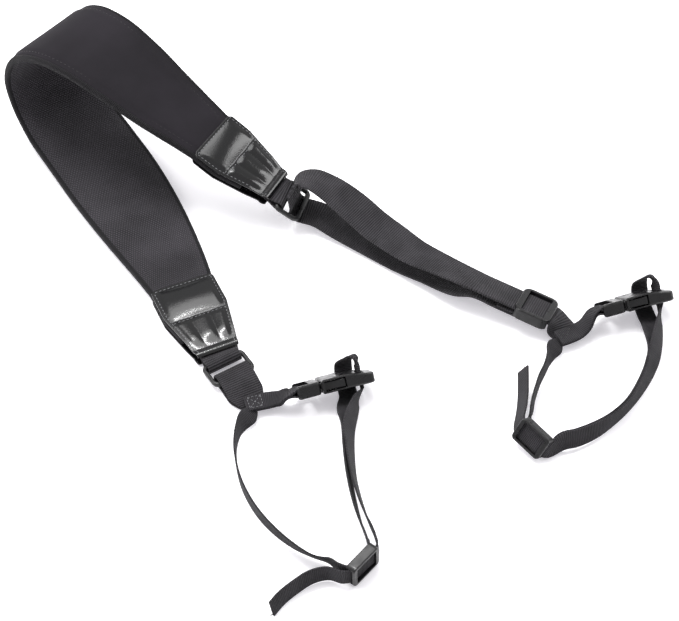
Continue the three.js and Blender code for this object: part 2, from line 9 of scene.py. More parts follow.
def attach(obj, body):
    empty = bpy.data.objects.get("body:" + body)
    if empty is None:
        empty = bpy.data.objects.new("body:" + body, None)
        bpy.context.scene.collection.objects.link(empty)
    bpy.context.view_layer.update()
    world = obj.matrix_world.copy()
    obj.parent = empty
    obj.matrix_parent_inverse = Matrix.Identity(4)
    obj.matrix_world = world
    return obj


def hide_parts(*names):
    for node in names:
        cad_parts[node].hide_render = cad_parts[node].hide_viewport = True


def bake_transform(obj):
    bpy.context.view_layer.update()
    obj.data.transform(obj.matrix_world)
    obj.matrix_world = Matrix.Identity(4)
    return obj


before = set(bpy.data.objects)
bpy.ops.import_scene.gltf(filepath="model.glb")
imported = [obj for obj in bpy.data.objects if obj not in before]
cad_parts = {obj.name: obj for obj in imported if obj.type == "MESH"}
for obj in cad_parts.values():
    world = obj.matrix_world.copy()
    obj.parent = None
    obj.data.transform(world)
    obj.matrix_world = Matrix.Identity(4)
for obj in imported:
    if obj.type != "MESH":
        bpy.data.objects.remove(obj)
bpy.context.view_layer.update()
random.seed(7)
print("frame loaded")

# The strap lies on a table. Sizes are in metres. The long adjustable arm is arm A, the short one arm B.
tableShift = Vector((0.01, 0.005, 0.0003))
gap = 0.0003
webWidth = 0.025
webThick = 0.0014
strapWidth = 0.0125
strapThick = 0.0012
strapSpread = 0.0016


# Route points: the place, then the bearing and tilt in degrees of the direction across the band.
padRoute = [
    [-0.082, -0.045, 0.0053, 27, 0],
    [-0.101, -0.005, 0.0053, 25, 0],
    [-0.12, 0.036, 0.0053, 27, 0],
    [-0.146, 0.085, 0.0053, 29, 0],
    [-0.175, 0.136, 0.0058, 30, 0],
    [-0.19, 0.16, 0.0075, 31, 0],
    [-0.206, 0.184, 0.0125, 33, 0],
    [-0.219, 0.203, 0.028, 37, 0],
    [-0.225, 0.21, 0.053, 45, 0],
    [-0.217, 0.203, 0.08, 50, 2],
    [-0.199, 0.188, 0.094, 53, 3],
    [-0.176, 0.171, 0.095, 54, 4],
    [-0.153, 0.156, 0.086, 55, 4],
    [-0.131, 0.142, 0.074, 56, 4],
    [-0.108, 0.129, 0.061, 58, 4],
    [-0.085, 0.116, 0.048, 60, 5],
    [-0.046, 0.096, 0.025, 66, 1],
]
webARising = [
    [-0.0332, 0.0924, 0.029, 75, -8],
    [-0.0296, 0.0962, 0.0336, 78, -13],
    [-0.02, 0.0952, 0.0358, 73, -9],
    [-0.0094, 0.0894, 0.0344, 65, -2],
    [0.002, 0.0816, 0.0308, 60, 7],
    [0.013, 0.073, 0.0266, 59, 13],
    [0.025, 0.0626, 0.022, 60, 13],
    [0.038, 0.0518, 0.0196, 61, 8],
    [0.053, 0.0386, 0.0186, 63, -2],
    [0.073, 0.0246, 0.0192, 65.5, -12],
]
webAEnd = [
    [0.153, -0.022, 0.0044, 50, 0],
    [0.1556, -0.03, 0.0026, 35, 0],
]
webAReturn = [
    [0.084, 0.014, 0.0094, 66, -13],
    [0.064, 0.031, 0.0052, 62, -7],
    [0.046, 0.045, 0.0032, 61, 0],
    [0.024, 0.0615, 0.0028, 63, 0],
    [0, 0.0775, 0.005, 66, 0],
    [-0.015, 0.086, 0.0086, 70, 0],
]
webB = [
    [-0.0583, -0.0865, 0.0013, 32, 0],
    [-0.0625, -0.078, 0.0013, 32, 0],
    [-0.067, -0.07, 0.0015, 33, 0],
]
tabStrapA = [
    [0.1495, -0.0333, 0.0074, 118, 0],
    [0.156, -0.0304, 0.0074, 118, 0],
    [0.163, -0.0265, 0.0078, 117, 0],
    [0.1688, -0.0216, 0.0092, 114, -16],
]
tabStrapB = [
    [-0.062, -0.09, 0.0062, 110, 0],
    [-0.055, -0.0878, 0.0062, 110, 0],
    [-0.047, -0.0862, 0.0067, 109, -3],
    [-0.0403, -0.0866, 0.009, 109, -18],
]
loopA = {
    "leaving": [
        [0.147, -0.0388, 0.006, 150, 30],
        [0.1436, -0.044, 0.007, 152, 56],
        [0.141, -0.0515, 0.008, 156, 78],
        [0.138, -0.06, 0.0083, 158, 85],
        [0.1335, -0.07, 0.0084, 158, 86],
        [0.1292, -0.083, 0.0086, 150, 86],
        [0.1262, -0.095, 0.009, 110, 80],
    ],
    "running": [
        [0.1445, -0.1216, 0.0087, 92, 66],
        [0.1535, -0.1188, 0.0085, 98, 64],
        [0.166, -0.1125, 0.0084, 112, 74],
        [0.177, -0.1045, 0.0084, 125, 85],
        [0.189, -0.0925, 0.0084, 140, 87],
        [0.2, -0.0765, 0.0086, 152, 76],
        [0.2085, -0.06, 0.0092, 164, 62],
        [0.213, -0.046, 0.01, 175, 48],
    ],
    "tail": [
        [0.1192, -0.098, 0.0114, 8, 61],
        [0.121, -0.087, 0.0115, -6, 63],
        [0.1219, -0.076, 0.0127, -14, 63],
        [0.1224, -0.066, 0.0146, -18, 63],
    ],
    "turning": [[0.0106, -0.0018], [0.0126, -0.0062]],
    "under": [0.2144, -0.018, 0.005, 186, 8],
    "over": [0.2214, -0.015, 0.0078, 238, 50],
    "spread": 0,
}
loopB = {
    "leaving": [
        [-0.0594, -0.0984, 0.0058, 135, 30],
        [-0.063, -0.1036, 0.0068, 142, 56],
        [-0.0658, -0.111, 0.0078, 156, 78],
        [-0.0674, -0.123, 0.0082, 172, 86],
        [-0.0665, -0.136, 0.0082, 185, 87],
        [-0.0618, -0.1555, 0.0082, 200, 87],
        [-0.0524, -0.175, 0.0082, 220, 86],
        [-0.041, -0.19, 0.0082, 240, 82],
        [-0.0284, -0.2015, 0.0079, 255, 73],
        [-0.016, -0.2094, 0.0078, 262, 63],
        [-0.0064, -0.2134, 0.0084, 260, 70],
    ],
    "running": [
        [0.0206, -0.2026, 0.0096, 172, 84],
        [0.0186, -0.1935, 0.0091, 178, 80],
        [0.015, -0.183, 0.0089, 180, 76],
        [0.0108, -0.167, 0.0088, 180, 73],
        [0.0074, -0.148, 0.009, 180, 71],
        [0.0058, -0.127, 0.0096, 182, 64],
        [0.0055, -0.112, 0.0104, 184, 54],
    ],
    "tail": [
        [-0.0074, -0.2216, 0.0078, 150, 80],
        [-0.0173, -0.2238, 0.007, 165, 76],
        [-0.0277, -0.2313, 0.0066, 175, 74],
        [-0.0352, -0.2386, 0.0065, 178, 73],
        [-0.0406, -0.246, 0.0065, 180, 73],
    ],
    "turning": [[0.0096, -0.0005], [0.0126, -0.0019]],
    "under": [0.0044, -0.0908, 0.005, 186, 8],
    "over": [0.0114, -0.0878, 0.0078, 238, 50],
    "spread": 2.4,
}
strapRoundSocket = [
    [-0.0085, 0.0065, -0.0125, -1, 0, 0],
    [-0.0075, 0.0116, -0.0056, -1, 0, 0],
    [-0.0069, 0.0126, 0.0026, -1, 0, 0],
    [-0.0059, 0.0118, 0.0088, -1, -0.15, 0],
    [-0.0039, 0.0082, 0.0126, -0.8, -0.6, 0],
    [-0.0011, 0.0036, 0.0124, -0.4, -0.9, 0],
    [0, 0.0006, 0.0086, 0, -1, 0],
    [0, 0, 0.004, 0, -1, 0],
    [0, 0, -0.004, 0, -1, 0],
    [0.0001, -0.0006, -0.009, -0.2, -1, 0],
]


view = {"target": (0.01, 0.005, 0), "elevation": 48, "distance": 1.15, "lens": 87.1}
# Each lamp's place, what it points at, its width and height, and its power in watts.
lamps = {
    "overhead": ((-0.3, 0.5, 1.7), (0, 0, 0), (1.5, 1.2), 24),
    "strip": ((-0.35, 0.42, 1.55), (-0.1, 0, 0.05), (0.75, 0.09), 13),
    "left": ((-1.3, -0.2, 0.9), (0, 0, 0.05), (0.5, 0.9), 9),
    "right": ((1.2, 0.5, 0.9), (0, 0, 0.05), (0.4, 0.8), 6),
}
skyStrength = 0.7
floorSize = 8


def addCamera():
    data = bpy.data.cameras.new("camera")
    data.lens = view["lens"]
    data.sensor_width = 36
    camera = bpy.data.objects.new("camera", data)
    rise = math.radians(view["elevation"])
    back = Vector((0, -math.cos(rise), math.sin(rise)))
    camera.location = Vector(view["target"]) + back * view["distance"]
    camera.rotation_euler = (math.pi / 2 - rise, 0, 0)
    bpy.context.scene.collection.objects.link(camera)
    bpy.context.scene.camera = camera


def addLight(name, place, aim, size, power):
    data = bpy.data.lights.new(name, "AREA")
    data.shape = "RECTANGLE"
    data.size, data.size_y = size
    data.energy = power
    light = bpy.data.objects.new(name, data)
    light.location = place
    beam = Vector(aim) - Vector(place)
    light.rotation_euler = beam.to_track_quat("-Z", "Y").to_euler()
    bpy.context.scene.collection.objects.link(light)


def addStudio():
    world = bpy.data.worlds.new("studio")
    world.use_nodes = True
    shade = world.node_tree.nodes["Background"]
    shade.inputs["Color"].default_value = (1, 1, 1, 1)
    shade.inputs["Strength"].default_value = skyStrength
    bpy.context.scene.world = world
    for name, settings in lamps.items():
        addLight(name, *settings)
    bpy.ops.mesh.primitive_plane_add(size=floorSize)
    floor = bpy.context.object
    floor.name = "floor"
    floor.data.materials.append(floorMaterial())
    bpy.context.scene.view_settings.view_transform = "Standard"


def newMaterial(name, color, roughness, sheen=0.0):
    made = bpy.data.materials.new(name)
    made.use_nodes = True
    shader = made.node_tree.nodes["Principled BSDF"]
    shader.inputs["Base Color"].default_value = (*color, 1)
    shader.inputs["Roughness"].default_value = roughness
    shader.inputs["Sheen Weight"].default_value = sheen
    shader.inputs["Sheen Roughness"].default_value = 0.4
    shader.inputs["Specular IOR Level"].default_value = 0.5 if roughness < 0.6 else 0.18
    return made, made.node_tree, shader


def addNode(tree, kind, links=None, **values):
    made = tree.nodes.new(kind)
    for name, value in values.items():
        setattr(made, name, value)
    for socket, source in (links or {}).items():
        if isinstance(source, bpy.types.NodeSocket):
            tree.links.new(source, made.inputs[socket])
        else:
            made.inputs[socket].default_value = source
    return made


def maths(tree, operation, a, b=0.0):
    return addNode(tree, "ShaderNodeMath", {0: a, 1: b}, operation=operation).outputs[0]


def newGroup(name, inputs, outputs):
    group = bpy.data.node_groups.new(name, "ShaderNodeTree")
    for socket, kind in inputs:
        group.interface.new_socket(socket, in_out="INPUT", socket_type=kind)
    for socket, kind in outputs:
        group.interface.new_socket(socket, in_out="OUTPUT", socket_type=kind)
    start = group.nodes.new("NodeGroupInput")
    end = group.nodes.new("NodeGroupOutput")
    return group, start, end


# Ribs across a strip, with the finer threads that cross them. The place is in metres, across and along.
def makeWeave():
    group, start, end = newGroup(
        "ribbed weave",
        [("Place", "NodeSocketVector"), ("Rib", "NodeSocketFloat"), ("Depth", "NodeSocketFloat")],
        [("Height", "NodeSocketFloat"), ("Normal", "NodeSocketVector")],
    )
    parts = addNode(group, "ShaderNodeSeparateXYZ", {0: start.outputs["Place"]})
    turn = maths(group, "DIVIDE", 2 * math.pi, start.outputs["Rib"])
    ribs = maths(group, "SINE", maths(group, "MULTIPLY", parts.outputs["Y"], turn))
    threads = maths(group, "MULTIPLY", parts.outputs["X"], maths(group, "MULTIPLY", turn, 1.35))
    shift = maths(group, "MULTIPLY", maths(group, "MULTIPLY", parts.outputs["Y"], turn), 0.5)
    cross = maths(group, "SINE", maths(group, "ADD", threads, shift))
    height = maths(group, "ADD", ribs, maths(group, "MULTIPLY", cross, 0.45))
    relief = {"Height": height, "Distance": start.outputs["Depth"], "Strength": 0.8}
    bump = addNode(group, "ShaderNodeBump", relief)
    group.links.new(height, end.inputs["Height"])
    group.links.new(bump.outputs["Normal"], end.inputs["Normal"])
    return group


# A slow patchiness, from 0 to 1, for roughness and tone.
def makeWear():
    group, start, end = newGroup(
        "patchy wear",
        [("Place", "NodeSocketVector"), ("Size", "NodeSocketFloat")],
        [("Mask", "NodeSocketFloat")],
    )
    pattern = {"Vector": start.outputs["Place"], "Scale": start.outputs["Size"], "Detail": 6.0}
    noise = addNode(group, "ShaderNodeTexNoise", pattern)
    contrast = {"Value": noise.outputs[0], "From Min": 0.35, "From Max": 0.65}
    limits = addNode(group, "ShaderNodeMapRange", contrast)
    group.links.new(limits.outputs[0], end.inputs["Mask"])
    return group


weaveGroup = makeWeave()
wearGroup = makeWear()


def stripPlace(tree):
    return addNode(tree, "ShaderNodeUVMap", uv_map="strip").outputs["UV"]


def objectPlace(tree):
    return addNode(tree, "ShaderNodeTexCoord").outputs["Object"]


def wearMask(tree, size):
    used = addNode(tree, "ShaderNodeGroup")
    used.node_tree = wearGroup
    tree.links.new(objectPlace(tree), used.inputs["Place"])
    used.inputs["Size"].default_value = size
    return used.outputs["Mask"]


def mixColor(tree, mask, dark, light):
    ramp = addNode(tree, "ShaderNodeMix", {"Factor": mask}, data_type="RGBA")
    ramp.inputs["A"].default_value = (*dark, 1)
    ramp.inputs["B"].default_value = (*light, 1)
    return ramp.outputs["Result"]


# rib is the distance from one rib to the next, depth how far it stands up. dark is painted shade in the
# rib grooves, light painted highlight on the rib tops.
def weaveMaterial(name, rib, depth, dark, light):
    made, tree, shader = newMaterial(name, dark, 0.8, 0.03)
    used = addNode(tree, "ShaderNodeGroup")
    used.node_tree = weaveGroup
    tree.links.new(stripPlace(tree), used.inputs["Place"])
    used.inputs["Rib"].default_value = rib
    used.inputs["Depth"].default_value = depth
    # Painted shade and highlight: the colour runs from dark in the rib grooves to light on the rib
    # tops, with a random patchy tone added.
    contrast = {"Value": used.outputs["Height"], "From Min": -1.4, "From Max": 1.4}
    ribShading = addNode(tree, "ShaderNodeMapRange", contrast)
    patch = maths(tree, "MULTIPLY", wearMask(tree, 60), 0.3)
    tone = maths(tree, "ADD", maths(tree, "MULTIPLY", ribShading.outputs[0], 0.7), patch)
    tree.links.new(mixColor(tree, tone, dark, light), shader.inputs["Base Color"])
    tree.links.new(used.outputs["Normal"], shader.inputs["Normal"])
    return made


def clothMaterial():
    made, tree, shader = newMaterial("smooth neoprene", (0.012, 0.0105, 0.013), 0.9, 0.02)
    place = objectPlace(tree)
    knit = addNode(tree, "ShaderNodeTexNoise", {"Vector": place, "Scale": 1800.0, "Detail": 2.0})
    relief = {"Height": knit.outputs[0], "Distance": 0.0002, "Strength": 0.25}
    bump = addNode(tree, "ShaderNodeBump", relief)
    tone = mixColor(tree, wearMask(tree, 18), (0.009, 0.0078, 0.01), (0.014, 0.012, 0.0155))
    tree.links.new(tone, shader.inputs["Base Color"])
    tree.links.new(bump.outputs["Normal"], shader.inputs["Normal"])
    return made


# Staggered raised dots on a grey mesh. The colour follows the dot height: painted shade between the
# dots and painted highlight on their tops, with a random patchy tone added.
def gripMaterial():
    made, tree, shader = newMaterial("grip lining", (0.02, 0.018, 0.021), 0.8, 0.03)
    parts = addNode(tree, "ShaderNodeSeparateXYZ", {0: stripPlace(tree)})
    along = maths(tree, "DIVIDE", parts.outputs["Y"], 0.0017)
    row = maths(tree, "MULTIPLY", maths(tree, "FLOOR", along), 0.5)
    across = maths(tree, "ADD", maths(tree, "DIVIDE", parts.outputs["X"], 0.0024), row)
    steps = [maths(tree, "FRACT", way) for way in (along, across)]
    waves = [maths(tree, "SINE", maths(tree, "MULTIPLY", step, math.pi)) for step in steps]
    dot = maths(tree, "MULTIPLY", *waves)
    bump = addNode(tree, "ShaderNodeBump", {"Height": dot, "Distance": 0.0005, "Strength": 0.9})
    patch = maths(tree, "MULTIPLY", wearMask(tree, 25), 0.25)
    # Painted shade and highlight from the dot height, plus random patchy tone.
    tone = maths(tree, "ADD", maths(tree, "MULTIPLY", dot, 0.75), patch)
    color = mixColor(tree, tone, (0.005, 0.0047, 0.0055), (0.055, 0.051, 0.059))
    tree.links.new(color, shader.inputs["Base Color"])
    tree.links.new(bump.outputs["Normal"], shader.inputs["Normal"])
    return made


def leatherMaterial():
    made, tree, shader = newMaterial("patent leather", (0.004, 0.004, 0.0045), 0.15)
    place = objectPlace(tree)
    creases = addNode(tree, "ShaderNodeTexNoise", {"Vector": place, "Scale": 90.0, "Detail": 2.0})
    grain = addNode(tree, "ShaderNodeTexVoronoi", {"Vector": place, "Scale": 1100.0})
    folds = {"Height": creases.outputs[0], "Distance": 0.0005, "Strength": 0.14}
    coarse = addNode(tree, "ShaderNodeBump", folds)
    pores = {"Height": grain.outputs[0], "Distance": 0.0001, "Strength": 0.3}
    fine = addNode(tree, "ShaderNodeBump", pores)
    tree.links.new(coarse.outputs["Normal"], fine.inputs["Normal"])
    tree.links.new(fine.outputs["Normal"], shader.inputs["Normal"])
    return made


def acetalMaterial():
    made, tree, shader = newMaterial("moulded acetal", (0.006, 0.0057, 0.0065), 0.3)
    shader.inputs["Specular IOR Level"].default_value = 0.4
    edges = addNode(tree, "ShaderNodeBevel", samples=4)
    edges.inputs["Radius"].default_value = 0.0005
    speckle = {"Vector": objectPlace(tree), "Scale": 1500.0, "Detail": 2.0}
    grain = addNode(tree, "ShaderNodeTexNoise", speckle)
    relief = {"Height": grain.outputs[0], "Distance": 0.0001, "Strength": 0.25}
    bump = addNode(tree, "ShaderNodeBump", relief)
    tree.links.new(edges.outputs["Normal"], bump.inputs["Normal"])
    tree.links.new(bump.outputs["Normal"], shader.inputs["Normal"])
    gloss = {"Value": wearMask(tree, 220), "To Min": 0.24, "To Max": 0.42}
    scuffs = addNode(tree, "ShaderNodeMapRange", gloss)
    tree.links.new(scuffs.outputs[0], shader.inputs["Roughness"])
    return made


def threadMaterial(name, color):
    made, tree, shader = newMaterial(name, color, 0.55, 0.2)
    twist = addNode(tree, "ShaderNodeTexWave", {"Vector": objectPlace(tree), "Scale": 900.0})
    relief = {"Height": twist.outputs[0], "Distance": 0.0001, "Strength": 0.4}
    bump = addNode(tree, "ShaderNodeBump", relief)
    tree.links.new(bump.outputs["Normal"], shader.inputs["Normal"])
    return made


def floorMaterial():
    made, tree, shader = newMaterial("white table", (0.93, 0.925, 0.935), 0.6)
    shader.inputs["Emission Color"].default_value = (0.95, 0.92, 1, 1)
    shader.inputs["Emission Strength"].default_value = 0.3
    grain = addNode(tree, "ShaderNodeTexNoise", {"Vector": objectPlace(tree), "Scale": 60.0})
    tone = mixColor(tree, grain.outputs[0], (0.925, 0.92, 0.93), (0.935, 0.93, 0.94))
    tree.links.new(tone, shader.inputs["Base Color"])
    return made


looks = {
    "neoprene": clothMaterial(),
    "grip_lining": gripMaterial(),
    # For the bound edge and both webbings the darker colour is painted shade in the rib grooves and the
    # lighter one painted highlight on the rib tops.
    "binding": weaveMaterial(
        "bound edge", 0.0012, 0.0002, (0.004, 0.0037, 0.0045), (0.012, 0.011, 0.013)
    ),
    "patent_leather": leatherMaterial(),
    "webbing": weaveMaterial(
        "wide webbing", 0.0016, 0.0003, (0.006, 0.0057, 0.0066), (0.052, 0.049, 0.055)
    ),
    "narrow_webbing": weaveMaterial(
        "narrow webbing", 0.0012, 0.00025, (0.006, 0.0057, 0.0066), (0.045, 0.0425, 0.048)
    ),
    "acetal": acetalMaterial(),
    "thread": threadMaterial("dark thread", (0.004, 0.004, 0.0045)),
    # Pale stitch colour: painted highlight for thread catching the light.
    "glintThread": threadMaterial("thread with painted glints", (0.15, 0.15, 0.16)),
}
print("materials made")


def clamp(x):
    return min(max(x, 0.0), 1.0)


def smooth(x, low, high):
    w = clamp((x - low) / (high - low))
    return w * w * (3 - 2 * w)


def cubic(a, b, leaving, arriving, w):
    return (
        a
        + leaving * w
        + (3 * (b - a) - 2 * leaving - arriving) * w**2
        + (2 * (a - b) + leaving + arriving) * w**3
    )


def neighbours(points, i):
    before = points[i - 1] if i > 0 else 2 * points[0] - points[1]
    after = points[i + 2] if i + 2 < len(points) else 2 * points[-1] - points[-2]
    return before, points[i], points[i + 1], after


def sideBetween(points, i, w):
    before, a, b, after = neighbours(points, i)
    return cubic(a, b, 0.5 * (b - before), 0.5 * (after - a), w)


def placeBetween(points, i, w):
    before, a, b, after = neighbours(points, i)
    steps = (a - before, b - a, after - b)
    first, middle, last = [math.sqrt(max(step.length, 1e-9)) for step in steps]
    leaving = (a - before) / first - (b - before) / (first + middle) + (b - a) / middle
    arriving = (b - a) / middle - (after - a) / (middle + last) + (after - b) / last
    return cubic(a, b, leaving * middle, arriving * middle, w)


def bearingVector(bearing, tilt=0):
    flat = math.cos(math.radians(tilt))
    turn = math.radians(bearing)
    return Vector((flat * math.cos(turn), flat * math.sin(turn), math.sin(math.radians(tilt))))


def stop(row):
    return Vector(row[:3]), bearingVector(row[3], row[4])


# A flat band along a route. frame(distance) is its place, and its directions along, across and through.
class Band:
    fine = 20  # steps from one stop to the next

    def __init__(self, stops):
        places = [s[0] for s in stops]
        sides = [s[1] for s in stops]
        count = (len(stops) - 1) * self.fine
        self.places = []
        self.sides = []
        self.reach = [0.0]
        for k in range(count + 1):
            i = min(k // self.fine, len(stops) - 2)
            w = k / self.fine - i
            self.places.append(placeBetween(places, i, w))
            self.sides.append(sideBetween(sides, i, w))
        for a, b in zip(self.places, self.places[1:]):
            self.reach.append(self.reach[-1] + (b - a).length)
        self.length = self.reach[-1]

    def squaredAt(self, k, w):
        last = len(self.places) - 1
        along = [self.places[min(i + 1, last)] - self.places[max(i - 1, 0)] for i in (k, k + 1)]
        heading = along[0].normalized().lerp(along[1].normalized(), w).normalized()
        side = self.sides[k].lerp(self.sides[k + 1], w)
        side = (side - heading * side.dot(heading)).normalized()
        return self.places[k].lerp(self.places[k + 1], w), heading, side, heading.cross(side)

    def frame(self, distance):
        inside = min(max(distance, 0), self.length)
        low, high = 0, len(self.reach) - 1
        while high - low > 1:
            middle = (low + high) // 2
            low, high = (middle, high) if self.reach[middle] <= inside else (low, middle)
        span = self.reach[high] - self.reach[low]
        at, along, side, normal = self.squaredAt(low, (inside - self.reach[low]) / span)
        return at + along * (distance - inside), along, side, normal

    def place(self, distance, across=0.0, through=0.0):
        at, along, side, normal = self.frame(distance)
        return at + side * across + normal * through


# The same route moved through the band by offset, times share(t) where t runs from 0 to 1.
def shifted(stops, offset, share=lambda t: 1):
    places = [s[0] for s in stops]
    sides = [s[1] for s in stops]
    moved = []
    for i, (place, side) in enumerate(stops):
        k = min(i, len(stops) - 2)
        ahead = placeBetween(places, k, 0.01 if i == k else 1)
        behind = placeBetween(places, k, 0 if i == k else 0.99)
        along = (ahead - behind).normalized()
        square = (side - along * side.dot(along)).normalized()
        moved.append((place + along.cross(square) * offset * share(i / (len(stops) - 1)), side))
    return moved


# Three square directions from a bearing and tilt along, and another across.
def squared(heading, across):
    along = bearingVector(*heading)
    side = bearingVector(*across)
    side = (side - along * side.dot(along)).normalized()
    return along, side, along.cross(side)


def inFrame(f, x, y=0.0, z=0.0):
    return f[0] + f[1] * x + f[2] * y + f[3] * z


def finishPiece(mesh, name, look, body=None):
    data = bpy.data.meshes.new(name)
    bmesh.ops.recalc_face_normals(mesh, faces=mesh.faces)
    bmesh.ops.translate(mesh, verts=mesh.verts, vec=tableShift)
    mesh.to_mesh(data)
    mesh.free()
    for face in data.polygons:
        face.use_smooth = True
    data.materials.append(looks[look])
    made = bpy.data.objects.new(name, data)
    bpy.context.scene.collection.objects.link(made)
    if look in ("thread", "glintThread"):
        look = "narrow_webbing"
    if body:
        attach(made, body)
    return made


# A grid shaped by mapping(u, v), each from 0 to 1. Its UV map is the place on the cloth in metres.
def gridOn(rows, across, mapping, length, width):
    mesh = bmesh.new()
    mesh.loops.layers.uv.new("strip")
    bmesh.ops.create_grid(mesh, x_segments=across, y_segments=rows, size=0.5, calc_uvs=True)
    layer = mesh.loops.layers.uv["strip"]
    for face in mesh.faces:
        for loop in face.loops:
            u, v = loop.vert.co.x + 0.5, loop.vert.co.y + 0.5
            loop[layer].uv = (u * width, v * length)
    for vert in mesh.verts:
        vert.co = mapping(vert.co.x + 0.5, vert.co.y + 0.5)
    return mesh


stripColumns = 6


def thicken(made, thickness, rounding):
    solid = made.modifiers.new("thickness", "SOLIDIFY")
    solid.thickness = thickness
    solid.offset = 0
    edge = made.modifiers.new("rounded edges", "BEVEL")
    edge.width = rounding
    edge.segments = 2
    edge.limit_method = "ANGLE"
    edge.angle_limit = math.radians(50)


# The two sorts of webbing: (width, thickness, look).
wideWeb = (webWidth, webThick, "webbing")
narrowWeb = (strapWidth, strapThick, "narrow_webbing")


# A length of webbing that stands for a CAD node. taper narrows it towards its ends:
# (share left at the start, share left at the end, over what length).
def strip(name, band, span, kind, replaces, body=None, step=0.0016, taper=None):
    start, end = span
    width, thickness, look = kind
    rows = max(4, round((end - start) / step))

    def narrowed(distance):
        if not taper:
            return 1
        first, last, reach = taper
        return min(
            first + (1 - first) * math.sqrt(smooth(distance - start, 0, reach)),
            last + (1 - last) * math.sqrt(smooth(end - distance, 0, reach)),
        )

    def mapping(u, v):
        distance = start + (end - start) * v
        return band.place(distance, (u - 0.5) * width * narrowed(distance))

    mesh = gridOn(rows, stripColumns, mapping, end - start, width)
    made = finishPiece(mesh, name, look, body)
    thicken(made, thickness, thickness * 0.3)
    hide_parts(replaces)
    return made


# Stitches of each sort: length, distance from one to the next, and thickness.
stitchSizes = {
    "pad": (0.0024, 0.0036, 0.00035),
    "tab": (0.0021, 0.0031, 0.0005),
    "box": (0.0019, 0.0026, 0.00045),
}


# Rows of thread stitches. A row is a list of (place, outward direction).
def stitches(name, rows, body, sort, look="thread"):
    length, pitch, thickness = stitchSizes[sort]
    size = Matrix.Diagonal((length / 2, thickness / 2, thickness / 2, 1))
    mesh = bmesh.new()
    for row in rows:
        left = pitch * 0.5
        for here, there in zip(row, row[1:]):
            a, out = here
            b = there[0]
            span = (b - a).length
            while left < span:
                along = (b - a).normalized()
                across = along.cross(out).normalized()
                turn = Matrix((along, across, along.cross(across))).transposed().to_4x4()
                shape = Matrix.Translation(a + along * left) @ turn @ size
                bmesh.ops.create_uvsphere(mesh, u_segments=6, v_segments=4, radius=1, matrix=shape)
                left += pitch
            left -= span
    return finishPiece(mesh, name, look, body)


padSizes = {
    "core": 0.0046,
    "skin": 0.0008,
    "middleHalf": 0.0365,
    "tabHalf": 0.0232,
    "endHalf": 0.0148,
    "binding": 0.0036,
    "leather": 0.0011,
    "tabLengths": {"a": 0.061, "b": 0.069},
    "from": 0.021,
    "shoulder": 0.041,
    "bend": 0.144,
}
padRows = 150
pad = Band([stop(row) for row in padRoute])
stack = padSizes["core"] / 2 + 1.5 * gap + padSizes["skin"]


def padHalf(distance):
    fromEnd = min(distance, pad.length - distance)
    if fromEnd < padSizes["shoulder"]:
        share = clamp(fromEnd / padSizes["shoulder"])
        return padSizes["endHalf"] + (padSizes["tabHalf"] - padSizes["endHalf"]) * share
    tabEnd = padSizes["tabLengths"]["a" if distance > fromEnd else "b"]
    grown = clamp((fromEnd - tabEnd) / padSizes["bend"])
    extra = padSizes["middleHalf"] - padSizes["tabHalf"]
    return padSizes["tabHalf"] + extra * math.sin(grown * math.pi / 2)


padLook = {
    "seamInset": 0.0068,
    "seamWidth": 0.0014,
    "seamDepth": 0.0007,
    "edgeHeight": 0.0019,
    "plump": 0.0004,
}


# How far the pad's cloth stands over its middle, with the seam drawn in beside the edge.
def padHeight(distance, across):
    inside = padHalf(distance) - abs(across)
    rise = smooth(inside, 0.0, 0.009)
    height = padLook["edgeHeight"] + (stack + padLook["plump"] - padLook["edgeHeight"]) * rise
    fromSeam = (inside - padLook["seamInset"]) / padLook["seamWidth"]
    return height - padLook["seamDepth"] * math.exp(-(fromSeam**2))


# One half of the pad, from its middle surface to its cloth.
def padSide(name, face, look, replaces):
    start, end = padSizes["from"], pad.length - padSizes["from"]

    def mapping(u, v):
        distance = start + (end - start) * v
        across = (2 * u - 1) * (padHalf(distance) - padSizes["binding"] * 0.55)
        return pad.place(distance, across, face * padHeight(distance, across))

    mesh = gridOn(padRows, 30, mapping, end - start, 2 * padSizes["middleHalf"])
    shell = bmesh.ops.extrude_face_region(mesh, geom=list(mesh.faces))
    for vert in [g for g in shell["geom"] if isinstance(g, bmesh.types.BMVert)]:
        distance, across = nearestOn(vert.co, start, end)
        vert.co = pad.place(distance, across, face * 0.0001)
    made = finishPiece(mesh, name, look, "pad")
    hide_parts(*replaces)
    return made


# Where a point near the pad lies: its distance along, and how far across.
def nearestOn(place, start, end):
    tries = [start + (end - start) * i / padRows for i in range(padRows + 1)]
    best = min(tries, key=lambda distance: (pad.frame(distance)[0] - place).length)
    at, along, side, normal = pad.frame(best)
    return best, (place - at).dot(side)


# A rounded tape down one edge of the pad.
def binding(name, way):
    start, end = padSizes["from"], pad.length - padSizes["from"]
    corners = 12

    def mapping(u, v):
        distance = start + (end - start) * v
        turn = u * 2 * math.pi
        across = padHalf(distance) - padSizes["binding"] / 2 - 0.0002
        wide = padSizes["binding"] / 2 + 0.0003
        high = stack * 0.74
        x = across + math.copysign(abs(math.cos(turn)) ** 0.75, math.cos(turn)) * wide
        z = math.copysign(abs(math.sin(turn)) ** 0.75, math.sin(turn)) * high
        return pad.place(distance, way * x, z)

    mesh = gridOn(padRows, corners, mapping, end - start, 0.016)
    bmesh.ops.remove_doubles(mesh, verts=mesh.verts, dist=1e-6)
    rims = [edge for edge in mesh.edges if edge.is_boundary]
    bmesh.ops.holes_fill(mesh, edges=rims, sides=0)
    made = finishPiece(mesh, name + "_tape", "binding", "pad")
    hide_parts(name)
    return made


